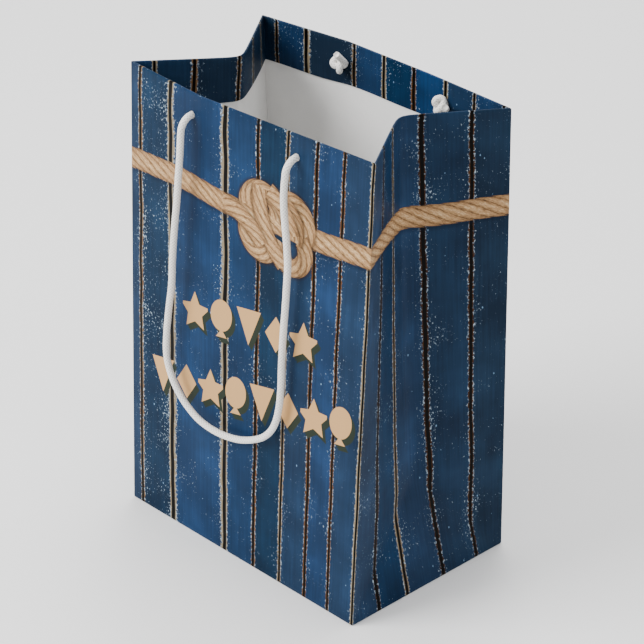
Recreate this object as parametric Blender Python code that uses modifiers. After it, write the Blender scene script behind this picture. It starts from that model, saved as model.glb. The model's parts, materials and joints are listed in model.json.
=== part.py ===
"""A gusseted paper gift bag with two cord handles. Metres, +Z up, front panel facing -Y.

The bag is one folded sheet. It stands on its block bottom, its sides are pinched in along their middle
creases, and its top edge is turned inside over a strip of card. Each handle is a cord that goes through
two punched holes and is knotted inside. The origin is on the floor, under the middle of the object.
"""

import math

import bmesh
import bpy
from mathutils import Vector

# The folded sheet
PANEL_WIDTH = 0.180
GUSSET_WIDTH = 0.120
HEIGHT = 0.273
PAPER = 0.0004
HEM_DEPTH = 0.026
CREASE_ROUNDING = 0.004

# How far inside the bottom edge the rim stands: left corner, left crease, right crease, right corner
FRONT_RIM_PULL = (0.0060, 0.0025, 0.0070, 0.0120)
BACK_RIM_PULL = (0.0180, 0.0085, 0.0070, 0.0080)
FRONT_RIM_SHIFT = -0.0025
BACK_RIM_SHIFT = -0.0015

# Card
CARD = 0.0005
CARD_END_MARGIN = 0.008
CARD_EDGE_MARGIN = 0.002
BOARD = 0.0008
BOARD_MARGIN = 0.002
GAP = 0.0003

# Cord, holes and knots
CORD_DIAMETER = 0.004
HOLE_CLEARANCE = 0.0005
HOLE_SPACING = 0.075
HOLE_DROP = 0.013
FRONT_HOLE_SHIFT = 0.0
BACK_HOLE_SHIFT = 0.005
FRONT_LOOP_CLEARANCE = 0.0021
BACK_LOOP_CLEARANCE = 0.0008
KNOT_SIZE = (0.0105, 0.0090, 0.0100)
TAIL_LENGTH = 0.008

# Where each loop hangs: metres across from the middle of its two holes, and metres below them
FRONT_ROUTE = (
    (-0.0375, 0.0000), (-0.0377, 0.0090), (-0.0383, 0.0200), (-0.0397, 0.0350), (-0.0411, 0.0500),
    (-0.0430, 0.0660), (-0.0446, 0.0830), (-0.0457, 0.1010), (-0.0482, 0.1180), (-0.0500, 0.1330),
    (-0.0504, 0.1460), (-0.0480, 0.1560), (-0.0430, 0.1652), (-0.0352, 0.1732), (-0.0245, 0.1792),
    (-0.0110, 0.1812), (0.0035, 0.1794), (0.0158, 0.1745), (0.0250, 0.1680), (0.0312, 0.1590),
    (0.0345, 0.1470), (0.0358, 0.1340), (0.0362, 0.1190), (0.0371, 0.1010), (0.0384, 0.0850),
    (0.0393, 0.0710), (0.0399, 0.0590), (0.0390, 0.0460), (0.0374, 0.0320), (0.0366, 0.0200),
    (0.0370, 0.0090), (0.0375, 0.0000),
)
BACK_ROUTE = (
    (-0.0375, 0.0000), (-0.0385, 0.0140), (-0.0405, 0.0300), (-0.0425, 0.0500), (-0.0440, 0.0720),
    (-0.0450, 0.0950), (-0.0455, 0.1180), (-0.0448, 0.1380), (-0.0415, 0.1550), (-0.0350, 0.1690),
    (-0.0245, 0.1785), (-0.0125, 0.1828), (0.0000, 0.1840), (0.0125, 0.1828), (0.0245, 0.1785),
    (0.0350, 0.1690), (0.0415, 0.1550), (0.0448, 0.1380), (0.0455, 0.1180), (0.0450, 0.0950),
    (0.0440, 0.0720), (0.0425, 0.0500), (0.0405, 0.0300), (0.0385, 0.0140), (0.0375, 0.0000),
)
CORD_POINT_SPACING = 0.0065

# Values that follow from the ones above
HALF_GUSSET = GUSSET_WIDTH / 2
CORD_RADIUS = CORD_DIAMETER / 2
HOLE_RADIUS = CORD_RADIUS + HOLE_CLEARANCE
CARD_OFFSET = PAPER + GAP
HEM_OFFSET = PAPER + GAP + CARD + GAP + PAPER
HOLE_HEIGHT = HEIGHT - HOLE_DROP

# Where the mesh has its columns and rows, as shares of the stretch they divide
PANEL_SHARES = (0.0, 0.5)
GUSSET_SHARES = (0.0, 1 / 6, 1 / 3, 0.45, 0.5, 0.55, 2 / 3, 5 / 6)
FOOT_SHARES = (0.0, 1 / 6, 1 / 3, 0.45, 0.5)
WALL_SHARES = (0.25, 0.5, 0.75)

SIDES = {
    "front": {"pull": FRONT_RIM_PULL, "shift": FRONT_RIM_SHIFT, "holes": FRONT_HOLE_SHIFT, "out": -1,
              "route": FRONT_ROUTE, "clearance": FRONT_LOOP_CLEARANCE},
    "back": {"pull": BACK_RIM_PULL, "shift": BACK_RIM_SHIFT, "holes": BACK_HOLE_SHIFT, "out": 1,
             "route": BACK_ROUTE, "clearance": BACK_LOOP_CLEARANCE},
}


# Scene helpers

def clear_scene():
    for old in list(bpy.data.objects):
        bpy.data.objects.remove(old, do_unlink=True)


def new_collection(name):
    collection = bpy.data.collections.new(name)
    bpy.context.scene.collection.children.link(collection)
    return collection


def new_material(name, colour, roughness):
    material = bpy.data.materials.new(name)
    material.use_nodes = True
    shader = material.node_tree.nodes["Principled BSDF"]
    shader.inputs["Base Color"].default_value = (*colour, 1.0)
    shader.inputs["Roughness"].default_value = roughness
    shader.inputs["Metallic"].default_value = 0.0
    return material


def add_object(name, data, collection, material=None, location=(0, 0, 0)):
    obj = bpy.data.objects.new(name, data)
    obj.location = location
    if material:
        data.materials.append(material)
    collection.objects.link(obj)
    return obj


def add_cutter(name, mesh):
    """A helper solid that cuts or joins other objects and is never part of the bag."""
    obj = add_object(name, mesh, cutters)
    obj.hide_render = True
    obj.display_type = "WIRE"
    return obj


def add_boolean(obj, other, operation):
    modifier = obj.modifiers.new(f"{operation.lower()} {other.name}", "BOOLEAN")
    modifier.operation = operation
    modifier.solver = "EXACT"
    modifier.object = other


def rod_mesh(name, start, end, radius, sides=16):
    """A straight round rod between two points."""
    axis = end - start
    bm = bmesh.new()
    bmesh.ops.create_cone(
        bm, cap_ends=True, segments=sides, radius1=radius, radius2=radius, depth=axis.length
    )
    turn = axis.to_track_quat("Z", "Y").to_matrix().to_4x4()
    bmesh.ops.transform(bm, matrix=turn, verts=bm.verts)
    bmesh.ops.translate(bm, vec=(start + end) / 2, verts=bm.verts)
    mesh = bpy.data.meshes.new(name)
    bm.to_mesh(mesh)
    bm.free()
    return mesh


# The plan of the folded sheet at any height

def panel_chain(side, height):
    """The panel's two corners and two creases in plan, left to right, before they are centred."""
    share = height / HEIGHT
    facing = SIDES[side]["out"]
    depths = [facing * (HALF_GUSSET - pull * share) for pull in SIDES[side]["pull"]]
    stretches = (HALF_GUSSET, PANEL_WIDTH - GUSSET_WIDTH, HALF_GUSSET)
    across = [0.0]
    for stretch, start, end in zip(stretches, depths, depths[1:]):
        across.append(across[-1] + math.sqrt(stretch**2 - (end - start) ** 2))
    middle = across[-1] / 2 - SIDES[side]["shift"] * share
    return [Vector((x - middle, y)) for x, y in zip(across, depths)]


def plan_middle():
    """Half way between the leftmost and the rightmost corner, at the floor or at the rim."""
    corners = [chain[i].x for side in SIDES for z in (0.0, HEIGHT) for chain in [panel_chain(side, z)]
               for i in (0, -1)]
    return (min(corners) + max(corners)) / 2


def panel_stations(side, height):
    """The plan places of a panel's two corners and two creases, left to right, at this height."""
    return [place - Vector((PLAN_MIDDLE, 0.0)) for place in panel_chain(side, height)]


PLAN_MIDDLE = plan_middle()


def panel_point(side, along, height):
    """The plan place at a distance along the sheet from the panel's middle, on its outer face."""
    stations = panel_stations(side, height)
    marks = (-PANEL_WIDTH / 2, -PANEL_WIDTH / 2 + HALF_GUSSET,
             PANEL_WIDTH / 2 - HALF_GUSSET, PANEL_WIDTH / 2)
    for i in range(3):
        if along <= marks[i + 1] or i == 2:
            share = (along - marks[i]) / (marks[i + 1] - marks[i])
            return stations[i].lerp(stations[i + 1], share)


def crease_inset(corner_gap):
    """How far the gusset's middle crease is pushed in, for paper that doesn't stretch."""
    return math.sqrt(max(HALF_GUSSET**2 - (corner_gap / 2) ** 2, 0.0))


def gusset_point(front_corner, back_corner, share, height, inward):
    """A plan place on a gusset, at a share of its width from its front corner."""
    distance = abs(share - 0.5) * GUSSET_WIDTH
    reach = math.hypot(HALF_GUSSET, CREASE_ROUNDING)
    tent = (reach - math.hypot(distance, CREASE_ROUNDING)) / HALF_GUSSET
    peak = (reach - CREASE_ROUNDING) / HALF_GUSSET
    foot = min(height / HALF_GUSSET, 1.0) * peak
    gap = (back_corner - front_corner).length
    if height < HALF_GUSSET:
        gap = GUSSET_WIDTH - (GUSSET_WIDTH - gap) * HALF_GUSSET / max(height, 1e-6)
    inset = crease_inset(gap) * min(tent, foot)
    place = front_corner.lerp(back_corner, share)
    return place + Vector((inward * inset, 0.0))


def outline(height):
    """The outer plan of the bag at this height, counter-clockwise from the front left corner."""
    front = panel_stations("front", height)
    back = panel_stations("back", height)
    points = []
    for start, end in zip(front, front[1:]):
        points += [start.lerp(end, share) for share in PANEL_SHARES]
    points += [gusset_point(front[3], back[3], share, height, -1) for share in GUSSET_SHARES]
    back_run = back[::-1]
    for start, end in zip(back_run, back_run[1:]):
        points += [start.lerp(end, share) for share in PANEL_SHARES]
    points += [gusset_point(front[0], back[0], 1 - share, height, 1) for share in GUSSET_SHARES]
    return points


def offset_inwards(points, distance):
    """The closed outline moved in by a distance, with mitred corners."""
    moved = []
    for i, here in enumerate(points):
        before = (here - points[i - 1]).normalized()
        after = (points[(i + 1) % len(points)] - here).normalized()
        normal = Vector((-before.y, before.x)) + Vector((-after.y, after.x))
        normal.normalize()
        mitre = distance / normal.dot(Vector((-after.y, after.x)))
        moved.append(here + normal * mitre)
    return moved


# The bag body

def body_rows():
    """The sheet from its bottom edge up the wall, over the rim and down inside the hem."""
    foot = [GUSSET_WIDTH * share for share in FOOT_SHARES]
    hem_line = HEIGHT - HEM_DEPTH
    walls = [HALF_GUSSET + (hem_line - HALF_GUSSET) * share for share in WALL_SHARES]
    rows = [(outline(z), z) for z in foot + walls + [hem_line, HEIGHT]]
    rows.append((offset_inwards(outline(HEIGHT), HEM_OFFSET), HEIGHT))
    rows.append((offset_inwards(outline(hem_line), HEM_OFFSET), hem_line))
    return rows


def fold_leans_left(column, columns_per_half):
    """Whether a cell at the gusset's foot is folded from its lower right to its upper left."""
    return column >= columns_per_half


def body_mesh():
    bm = bmesh.new()
    rows = [[bm.verts.new((p.x, p.y, z)) for p in points] for points, z in body_rows()]
    count = len(rows[0])
    panel_columns = 3 * len(PANEL_SHARES)
    gusset_columns = len(GUSSET_SHARES)
    foot_rows = len(FOOT_SHARES) - 1
    for r, (lower, upper) in enumerate(zip(rows, rows[1:])):
        for c in range(count):
            a, b = lower[c], lower[(c + 1) % count]
            d, e = upper[c], upper[(c + 1) % count]
            within = c % (panel_columns + gusset_columns) - panel_columns
            if r >= foot_rows or within < 0:
                bm.faces.new((a, b, e, d))
            elif fold_leans_left(within, gusset_columns // 2):
                bm.faces.new((a, b, d))
                bm.faces.new((b, e, d))
            else:
                bm.faces.new((a, b, e))
                bm.faces.new((a, e, d))
    bm.faces.new(rows[0][::-1])
    mesh = bpy.data.meshes.new("bag_body")
    bm.to_mesh(mesh)
    bm.free()
    return mesh


def add_paper_thickness(obj, thickness):
    solidify = obj.modifiers.new("thickness", "SOLIDIFY")
    solidify.thickness = thickness
    solidify.offset = -1.0
    solidify.use_even_offset = True
    solidify.use_quality_normals = True


def hole_centres(side):
    """The two hole centres on the panel's outer face, left to right."""
    middle = SIDES[side]["holes"]
    places = []
    for sign in (-1, 1):
        plan = panel_point(side, middle + sign * HOLE_SPACING / 2, HOLE_HEIGHT)
        places.append(Vector((plan.x, plan.y, HOLE_HEIGHT)))
    return places


def outward(side):
    """The level direction straight out of the panel between its holes."""
    left, right = hole_centres(side)
    across = (right - left).normalized()
    return across.cross(Vector((0, 0, 1))) * -SIDES[side]["out"]


def panel_reach(side, distance, height):
    """How far the panel stands outside the line of its holes, a distance across from their middle."""
    left, right = hole_centres(side)
    middle = (left + right) / 2
    across = (right - left).normalized()
    direction = outward(side)
    offsets = [plan.to_3d() - Vector((middle.x, middle.y, 0.0)) for plan in panel_stations(side, height)]
    spots = [(offset.dot(across), offset.dot(direction)) for offset in offsets]
    i = 0
    while i < len(spots) - 2 and spots[i + 1][0] < distance:
        i += 1
    (start, start_reach), (end, end_reach) = spots[i], spots[i + 1]
    return start_reach + (end_reach - start_reach) * (distance - start) / (end - start)


def swing_out(side):
    """How far outside its holes a loop hangs, so that it clears the sloping panel behind it."""
    reaches = [panel_reach(side, across, HOLE_HEIGHT - down) for across, down in SIDES[side]["route"]]
    return max(reaches) + CORD_RADIUS + SIDES[side]["clearance"]


def add_hole_cutters():
    found = {}
    for side in SIDES:
        direction = outward(side)
        for word, place in zip(("left", "right"), hole_centres(side)):
            start = place - direction * (HEM_OFFSET + HOLE_RADIUS)
            end = place + direction * HOLE_RADIUS
            name = f"{side}_{word}_hole_cutter"
            found[side, word] = add_cutter(name, rod_mesh(name, start, end, HOLE_RADIUS, 20))
    return found


def make_body():
    body = add_object("bag_body", body_mesh(), parts, printed_paper)
    add_paper_thickness(body, PAPER)
    for cutter in holes.values():
        add_boolean(body, cutter, "DIFFERENCE")


# The card pieces

def card_mesh(side):
    """The strip inside the hem, as an open surface on the side of it that faces out."""
    half = PANEL_WIDTH / 2 - CARD_END_MARGIN
    crease = PANEL_WIDTH / 2 - HALF_GUSSET
    stations = [-half, -crease, crease, half]
    heights = (HEIGHT - HEM_DEPTH + CARD_EDGE_MARGIN, HEIGHT - PAPER - CARD_EDGE_MARGIN)
    inward = -SIDES[side]["out"]
    bm = bmesh.new()
    rows = []
    for height in heights:
        plan = [panel_point(side, along, height) for along in stations]
        row = []
        for i, here in enumerate(plan):
            before = plan[max(i - 1, 0)]
            after = plan[min(i + 1, len(plan) - 1)]
            run = (after - before).normalized()
            normal = Vector((-run.y, run.x)) * inward
            place = here + normal * CARD_OFFSET
            row.append(bm.verts.new((place.x, place.y, height)))
        rows.append(row)
    lower, upper = rows
    for i in range(len(stations) - 1):
        face = (lower[i], lower[i + 1], upper[i + 1], upper[i])
        bm.faces.new(face if side == "front" else face[::-1])
    mesh = bpy.data.meshes.new(f"{side}_top_card")
    bm.to_mesh(mesh)
    bm.free()
    return mesh


def make_top_card(side):
    card = add_object(f"{side}_top_card", card_mesh(side), parts, grey_card)
    add_paper_thickness(card, CARD)
    for word in ("left", "right"):
        add_boolean(card, holes[side, word], "DIFFERENCE")


def make_bottom_board():
    size = Vector((PANEL_WIDTH - 2 * BOARD_MARGIN, GUSSET_WIDTH - 2 * BOARD_MARGIN, BOARD))
    bm = bmesh.new()
    bmesh.ops.create_cube(bm, size=1.0)
    bmesh.ops.scale(bm, vec=size, verts=bm.verts)
    mesh = bpy.data.meshes.new("bottom_board")
    bm.to_mesh(mesh)
    bm.free()
    height = PAPER + GAP + BOARD / 2
    add_object("bottom_board", mesh, parts, grey_card, (-PLAN_MIDDLE, 0, height))


# The cords and their knots

def make_knot(side, word, place):
    """A knot inside the panel, with the stub of cord that goes out through the hole, and its cut tail."""
    direction = outward(side)
    inside = HEM_OFFSET + GAP + KNOT_SIZE[1] / 2
    centre = place - direction * inside
    bm = bmesh.new()
    bmesh.ops.create_uvsphere(bm, u_segments=16, v_segments=10, radius=0.5)
    bmesh.ops.scale(bm, vec=KNOT_SIZE, verts=bm.verts)
    mesh = bpy.data.meshes.new(f"{side}_knot_{word}")
    bm.to_mesh(mesh)
    bm.free()
    knot = add_object(f"{side}_knot_{word}", mesh, parts, white_cord, centre)
    reach = swing_out(side) - CORD_RADIUS - GAP
    stub_name = f"{side}_{word}_stub_joiner"
    stub = add_cutter(stub_name, rod_mesh(stub_name, centre, place + direction * reach, CORD_RADIUS, 12))
    tail_way = Vector((-0.6, 0.0, 0.8)) - direction * 0.25
    tail_end = centre + tail_way.normalized() * (KNOT_SIZE[2] / 2 + TAIL_LENGTH)
    tail_name = f"{side}_{word}_tail_joiner"
    tail = add_cutter(tail_name, rod_mesh(tail_name, centre, tail_end, CORD_RADIUS * 0.9, 12))
    add_boolean(knot, stub, "UNION")
    add_boolean(knot, tail, "UNION")


def smooth_points(route, spacing):
    """Points a set distance apart on a smooth curve through the route."""
    ends = [route[0] * 2 - route[1]] + route + [route[-1] * 2 - route[-2]]
    fine = []
    for p0, p1, p2, p3 in zip(ends, ends[1:], ends[2:], ends[3:]):
        for step in range(20):
            t = step / 20
            fine.append(
                0.5 * (2 * p1 + (p2 - p0) * t + (2 * p0 - 5 * p1 + 4 * p2 - p3) * t**2
                       + (3 * p1 - p0 - 3 * p2 + p3) * t**3)
            )
    fine.append(route[-1])
    lengths = [0.0]
    for a, b in zip(fine, fine[1:]):
        lengths.append(lengths[-1] + (b - a).length)
    count = round(lengths[-1] / spacing)
    points = []
    i = 0
    for k in range(count + 1):
        wanted = lengths[-1] * k / count
        while i < len(fine) - 2 and lengths[i + 1] < wanted:
            i += 1
        share = (wanted - lengths[i]) / (lengths[i + 1] - lengths[i])
        points.append(fine[i].lerp(fine[i + 1], min(share, 1.0)))
    return points


def make_handle(side):
    """The swinging loop of cord. Its origin is on its hinge line, midway between the holes."""
    left, right = hole_centres(side)
    hinge = (left + right) / 2 + outward(side) * swing_out(side)
    across = (right - left).normalized()
    down = Vector((0, 0, -1))
    route = [across * a + down * d for a, d in SIDES[side]["route"]]
    curve = bpy.data.curves.new(f"{side}_handle_cord", "CURVE")
    curve.dimensions = "3D"
    curve.bevel_depth = CORD_RADIUS
    curve.bevel_resolution = 2
    curve.use_fill_caps = True
    points = smooth_points(route, CORD_POINT_SPACING)
    spline = curve.splines.new("POLY")
    spline.points.add(len(points) - 1)
    for target, place in zip(spline.points, points):
        target.co = (*place, 1.0)
    add_object(f"{side}_handle_cord", curve, parts, white_cord, hinge)


clear_scene()
parts = new_collection("gift_bag")
cutters = new_collection("cutters")
printed_paper = new_material("printed_paper", (0.012, 0.070, 0.190), 0.35)
grey_card = new_material("grey_card", (0.48, 0.46, 0.43), 0.85)
white_cord = new_material("white_cord", (0.84, 0.82, 0.79), 0.70)

holes = add_hole_cutters()
make_body()
make_bottom_board()
for side_name in SIDES:
    make_top_card(side_name)
    make_handle(side_name)
    for side_word, hole_place in zip(("left", "right"), hole_centres(side_name)):
        make_knot(side_name, side_word, hole_place)
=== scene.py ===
# %% [markdown]
# # A printed paper gift bag
#
# The bag is one printed sheet, folded and glued, with two cords for handles. The engineering model is
# loaded first as a fixed frame. Everything made below keeps to its places: the sheet stands where the
# plain body stands, and each cord runs where its plain tube runs. Sizes are metres unless a name says mm.

# %% Load the frame
import json
import math

import bmesh
import bpy
import numpy as np
from mathutils import Matrix, Quaternion, Vector


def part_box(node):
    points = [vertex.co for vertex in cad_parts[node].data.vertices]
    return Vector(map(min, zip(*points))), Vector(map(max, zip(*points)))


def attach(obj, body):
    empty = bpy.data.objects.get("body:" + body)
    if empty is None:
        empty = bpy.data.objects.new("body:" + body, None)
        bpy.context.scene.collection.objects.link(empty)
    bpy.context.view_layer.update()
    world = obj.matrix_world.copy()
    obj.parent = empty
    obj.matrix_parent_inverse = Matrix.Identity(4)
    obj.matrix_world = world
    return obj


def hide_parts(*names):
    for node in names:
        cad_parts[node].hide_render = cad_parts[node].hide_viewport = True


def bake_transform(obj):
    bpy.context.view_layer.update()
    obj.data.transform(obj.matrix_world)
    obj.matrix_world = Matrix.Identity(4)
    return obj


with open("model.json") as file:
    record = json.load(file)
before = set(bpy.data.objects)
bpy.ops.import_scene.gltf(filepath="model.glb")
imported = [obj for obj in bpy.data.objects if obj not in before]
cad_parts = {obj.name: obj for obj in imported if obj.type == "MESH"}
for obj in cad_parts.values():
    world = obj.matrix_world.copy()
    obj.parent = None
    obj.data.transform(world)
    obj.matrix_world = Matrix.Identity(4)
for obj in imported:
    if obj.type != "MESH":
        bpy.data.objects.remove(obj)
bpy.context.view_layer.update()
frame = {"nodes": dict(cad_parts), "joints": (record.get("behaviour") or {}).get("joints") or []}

# %% [markdown]
# ## Small helpers
#
# A colour chip is read as an sRGB hex value, but light adds up in linear values, so one function turns
# the first into the second. Node trees are long lists of small steps, so one function adds any node with
# its settings and its links. Inputs are a list in the node's own order, or are given by name or number,
# and a node stands for its first output. The four kinds of node used most have short names.


# %% Colour and node helpers
MATH = "ShaderNodeMath"
VECTOR_MATH = "ShaderNodeVectorMath"
MIX = "ShaderNodeMix"
NOISE = "ShaderNodeTexNoise"


def linear(hex_colour):
    """An sRGB hex colour as linear red, green, blue and alpha."""
    parts = [int(hex_colour[i:i + 2], 16) / 255 for i in (1, 3, 5)]
    return (*[c / 12.92 if c <= 0.04045 else ((c + 0.055) / 1.055) ** 2.4 for c in parts], 1.0)


def connect(node, inputs):
    """Sets each input of a node to a value, or links it to another node."""
    for key, value in inputs.items() if isinstance(inputs, dict) else enumerate(inputs):
        if isinstance(value, bpy.types.Node):
            value = value.outputs[0]
        if isinstance(value, bpy.types.NodeSocket):
            node.id_data.links.new(value, node.inputs[key])
        else:
            node.inputs[key].default_value = value


def add(tree, kind, inputs=(), stops=(), **settings):
    """Adds one node with its settings and inputs. Stops are the places and colours of a colour ramp."""
    made = tree.nodes.new(kind)
    for name, value in settings.items():
        setattr(made, name, value)
    if stops:
        ramp = made.color_ramp.elements
        for element, (place, tint) in zip(ramp, (stops[0], stops[-1])):
            element.position = place
            element.color = linear(tint)
        for place, tint in stops[1:-1]:
            ramp.new(place).color = linear(tint)
    connect(made, inputs)
    return made


def new_material(name):
    """A node material with its shader, ready for a pattern."""
    material = bpy.data.materials.new(name)
    material.use_nodes = True
    return material, material.node_tree, material.node_tree.nodes["Principled BSDF"]


# %% Object helpers
def placed(name, data):
    """A new object in the scene."""
    made = bpy.data.objects.new(name, data)
    bpy.context.scene.collection.objects.link(made)
    return made


def mesh_of(name, bm):
    """A finished bmesh as a plain mesh."""
    mesh = bpy.data.meshes.new(name)
    bm.to_mesh(mesh)
    bm.free()
    return mesh


def finished(name, source):
    """The plain mesh of an object with its modifiers applied, as a new piece."""
    depsgraph = bpy.context.evaluated_depsgraph_get()
    mesh = bpy.data.meshes.new_from_object(source.evaluated_get(depsgraph), depsgraph=depsgraph)
    bpy.data.objects.remove(source)
    return placed(name, mesh)


# %% [markdown]
# ## Camera
#
# The bag is seen from its front right corner and from above, with a long lens, so that its upright edges
# stay nearly parallel. The camera is placed by its spot, its heading, its tilt and a slight roll.

# %% Camera
CAMERA_SPOT = Vector((0.98191, -0.97243, 0.89392))
CAMERA_HEADING = math.radians(45.17)
CAMERA_TILT = math.radians(28.96)
CAMERA_ROLL = math.radians(0.94)
SENSOR = 36.0
LENS = 159.5

looking = Vector((
    -math.sin(CAMERA_HEADING) * math.cos(CAMERA_TILT),
    math.cos(CAMERA_HEADING) * math.cos(CAMERA_TILT),
    -math.sin(CAMERA_TILT),
))
camera_data = bpy.data.cameras.new("camera")
camera_data.lens = LENS
camera_data.sensor_width = SENSOR
camera = placed("camera", camera_data)
camera.location = CAMERA_SPOT
camera.rotation_mode = "QUATERNION"
camera.rotation_quaternion = looking.to_track_quat("-Z", "Y") @ Quaternion((0, 0, 1), CAMERA_ROLL)
bpy.context.scene.camera = camera

# %% [markdown]
# ## The plan of the folded sheet
#
# A paper bag's shape follows from its folds. The sheet doesn't stretch, so the distance along it from
# corner to crease stays the same at every height. Each panel leans in towards the rim by its own amount
# at its two corners and its two printed-through creases. Each gusset is pushed in along its middle
# crease as far as the gap between its corners forces it. The same few rules give the plan at any height.

# %% Sheet sizes
PANEL_WIDTH = 0.180
GUSSET_WIDTH = 0.120
HEIGHT = 0.273
HEM_DEPTH = 0.026
CREASE_ROUNDING = 0.004
FRONT_RIM_PULL = (0.0060, 0.0025, 0.0070, 0.0120)
BACK_RIM_PULL = (0.0180, 0.0085, 0.0070, 0.0080)
FRONT_RIM_SHIFT = -0.0025
BACK_RIM_SHIFT = -0.0015
HOLE_SPACING = 0.075
HOLE_DROP = 0.013
BACK_HOLE_SHIFT = 0.005

HALF_GUSSET = GUSSET_WIDTH / 2
AROUND = 2 * (PANEL_WIDTH + GUSSET_WIDTH)
HOLE_HEIGHT = HEIGHT - HOLE_DROP
PANELS = {
    "front": {"pull": FRONT_RIM_PULL, "shift": FRONT_RIM_SHIFT, "out": -1, "holes": 0.0},
    "back": {"pull": BACK_RIM_PULL, "shift": BACK_RIM_SHIFT, "out": 1, "holes": BACK_HOLE_SHIFT},
}


# %% Plan of the panels and gussets
def panel_chain(side, height):
    """A panel's two corners and two creases in plan, left to right, as rows of x and y."""
    share = height / HEIGHT
    facts = PANELS[side]
    depths = [facts["out"] * (HALF_GUSSET - pull * share) for pull in facts["pull"]]
    across = [0.0]
    stretches = (HALF_GUSSET, PANEL_WIDTH - GUSSET_WIDTH, HALF_GUSSET)
    for stretch, start, end in zip(stretches, depths, depths[1:]):
        across.append(across[-1] + math.sqrt(stretch**2 - (end - start) ** 2))
    middle = across[-1] / 2 - facts["shift"] * share
    return np.array([(x - middle, y) for x, y in zip(across, depths)])


corner_xs = [panel_chain(side, z)[i][0] for side in PANELS for z in (0.0, HEIGHT) for i in (0, -1)]
PLAN_MIDDLE = (min(corner_xs) + max(corner_xs)) / 2


def panel_stations(side, height):
    """The chain, centred on the bag's own middle."""
    return panel_chain(side, height) - np.array((PLAN_MIDDLE, 0.0))


def soft_least(a, b, softness):
    """The smaller of two values, with the change from one to the other rounded off."""
    blend = np.clip(0.5 + 0.5 * (b - a) / softness, 0, 1)
    return b + (a - b) * blend - softness * blend * (1 - blend)


def gusset_points(front_corner, back_corner, shares, height, inward):
    """Plan places across a gusset, at shares of its width from its front corner."""
    reach = math.hypot(HALF_GUSSET, CREASE_ROUNDING)
    distance = np.abs(shares - 0.5) * GUSSET_WIDTH
    tent = (reach - np.hypot(distance, CREASE_ROUNDING)) / HALF_GUSSET
    foot = min(max(height, 0.0) / HALF_GUSSET, 1.0) * (reach - CREASE_ROUNDING) / HALF_GUSSET
    gap = np.linalg.norm(back_corner - front_corner)
    if height < HALF_GUSSET:
        gap = GUSSET_WIDTH - (GUSSET_WIDTH - gap) * HALF_GUSSET / max(height, 1e-6)
    inset = math.sqrt(max(HALF_GUSSET**2 - (gap / 2) ** 2, 0.0))
    depth = inset * np.maximum(soft_least(tent, np.full_like(tent, foot), 0.03), 0.0)
    straight = front_corner + shares[:, None] * (back_corner - front_corner)
    return straight + np.stack((inward * depth, np.zeros_like(depth)), axis=1)


FINE_SHARES = np.linspace(0, 1, 61)
COARSE_SHARES = np.array((0, 1 / 8, 1 / 4, 3 / 8, 0.42, 0.46, 0.48, 0.5,
                          0.52, 0.54, 0.58, 5 / 8, 3 / 4, 7 / 8, 1))


def plan_line(height, shares):
    """The closed outline at a height: the distance along the sheet of each station, and its place."""
    front, back = panel_stations("front", height), panel_stations("back", height)
    right = gusset_points(front[3], back[3], shares, height, -1)
    left = gusset_points(front[0], back[0], shares, height, 1)[::-1]
    panel_marks = np.array((0.0, HALF_GUSSET, PANEL_WIDTH - HALF_GUSSET, PANEL_WIDTH))
    second = PANEL_WIDTH + GUSSET_WIDTH
    marks = [panel_marks[:3], PANEL_WIDTH + GUSSET_WIDTH * shares[:-1], second + panel_marks[:3],
             second + PANEL_WIDTH + GUSSET_WIDTH * shares[:-1]]
    return np.concatenate(marks), np.concatenate((front[:3], right[:-1], back[::-1][:3], left[:-1]))


def moved_inwards(places, distance):
    """A closed outline moved towards its inside, with mitred corners."""
    before = places - np.roll(places, 1, axis=0)
    after = np.roll(places, -1, axis=0) - places
    before /= np.linalg.norm(before, axis=1)[:, None]
    after /= np.linalg.norm(after, axis=1)[:, None]
    normal = np.stack((-before[:, 1] - after[:, 1], before[:, 0] + after[:, 0]), axis=1)
    normal /= np.linalg.norm(normal, axis=1)[:, None]
    mitre = normal[:, 0] * -after[:, 1] + normal[:, 1] * after[:, 0]
    return places + normal * (distance / mitre)[:, None]


FOLD_SOFTNESS = 0.0009


def sheet_plan(along, height, inset=0.0):
    """Plan places at distances along the sheet, with every fold rounded as stiff paper rounds it."""
    marks, places = plan_line(height, COARSE_SHARES if inset else FINE_SHARES)
    if inset:
        places = moved_inwards(places, inset)
    marks = np.append(marks, AROUND)
    places = np.vstack((places, places[:1]))
    total = np.zeros((len(along), 2))
    steps = np.linspace(-1, 1, 7)
    weights = 1.2 - np.abs(steps)
    for step, weight in zip(steps, weights / weights.sum()):
        at = (along + step * FOLD_SOFTNESS) % AROUND
        total += weight * np.stack([np.interp(at, marks, places[:, i]) for i in (0, 1)], axis=1)
    return total


rim = sheet_plan(np.arange(0, AROUND, 0.002), HEIGHT)
print("rim spans, mm:", np.round(np.ptp(rim, axis=0) * 1000, 1))
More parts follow.
